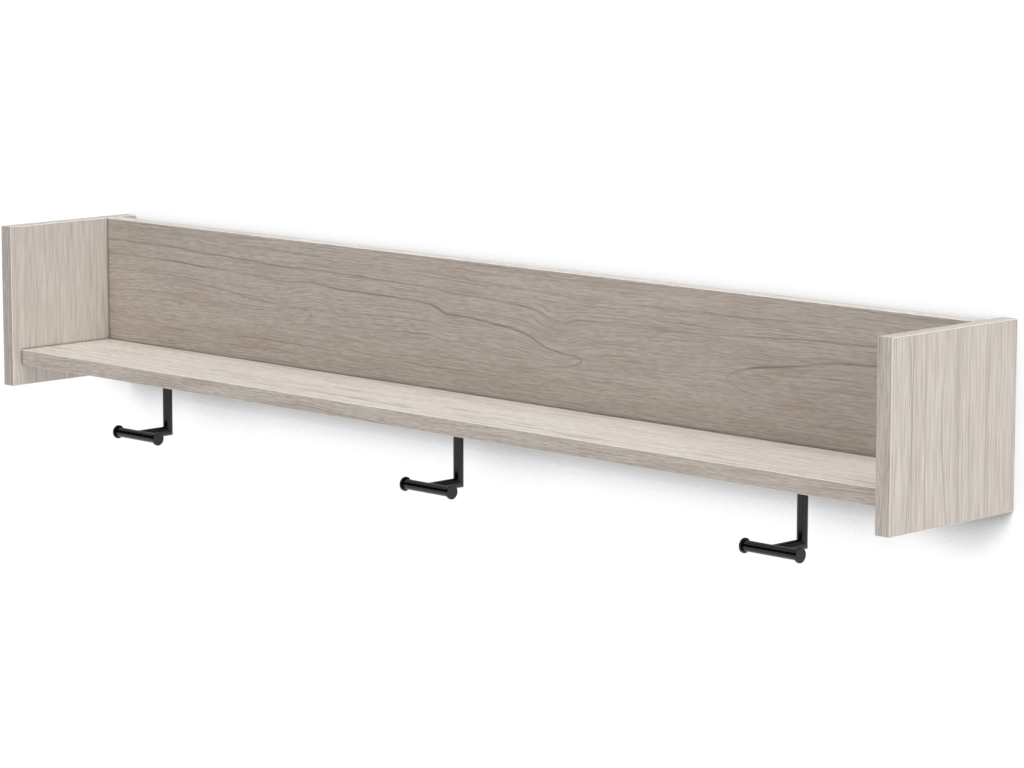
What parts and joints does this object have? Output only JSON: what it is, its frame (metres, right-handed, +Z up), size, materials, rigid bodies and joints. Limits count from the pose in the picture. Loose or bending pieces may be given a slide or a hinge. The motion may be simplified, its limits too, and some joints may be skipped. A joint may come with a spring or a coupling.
{
  "type": "wall shelf with hooks",
  "caption": "Wide wall shelf with a back panel between two square side panels and black rod hooks with cross bars under the shelf board.",
  "frame": {"origin": "on the wall plane, in the middle of the line of wall screws in the wall cleat", "axes": "+X along the shelf to its right end seen from the front, +Y into the wall (the front faces -Y), +Z up"},
  "size_m": [1.2, 0.168, 0.2149],
  "materials": {
    "board": "pale greige wood-grain melamine on particle board",
    "edge_band": "wood-grain edge band",
    "plywood": "raw birch plywood",
    "beech": "turned beech dowel",
    "zinc": "bright zinc-plated",
    "black_steel": "fine black powder coat",
    "black_screw": "black oxide"
  },
  "bodies": {
    "root": {"side_panel_left": "board", "side_panel_right": "board", "shelf_board": "board", "back_panel": "board", "side_front_band_left": "edge_band", "side_top_band_left": "edge_band", "side_bottom_band_left": "edge_band", "side_front_band_right": "edge_band", "side_top_band_right": "edge_band", "side_bottom_band_right": "edge_band", "shelf_front_band": "edge_band", "back_top_band": "edge_band", "back_bottom_band": "edge_band", "hanging_cleat": "plywood", "wall_cleat": "plywood", "shelf_dowels": "beech", "back_dowels": "beech", "shelf_cams": "zinc", "shelf_cam_bolts": "zinc", "back_cams": "zinc", "back_cam_bolts": "zinc", "joint_screws": "zinc", "cleat_screws": "zinc", "hook_1_plate": "black_steel", "hook_1_post": "black_steel", "hook_1_arm": "black_steel", "hook_1_peg": "black_steel", "hook_1_discs": "black_steel", "hook_1_weld": "black_steel", "hook_1_screws": "black_screw", "hook_2_plate": "black_steel", "hook_2_post": "black_steel", "hook_2_arm": "black_steel", "hook_2_peg": "black_steel", "hook_2_discs": "black_steel", "hook_2_weld": "black_steel", "hook_2_screws": "black_screw", "hook_3_plate": "black_steel", "hook_3_post": "black_steel", "hook_3_arm": "black_steel", "hook_3_peg": "black_steel", "hook_3_discs": "black_steel", "hook_3_weld": "black_steel", "hook_3_screws": "black_screw"}
  },
  "joints": []
}
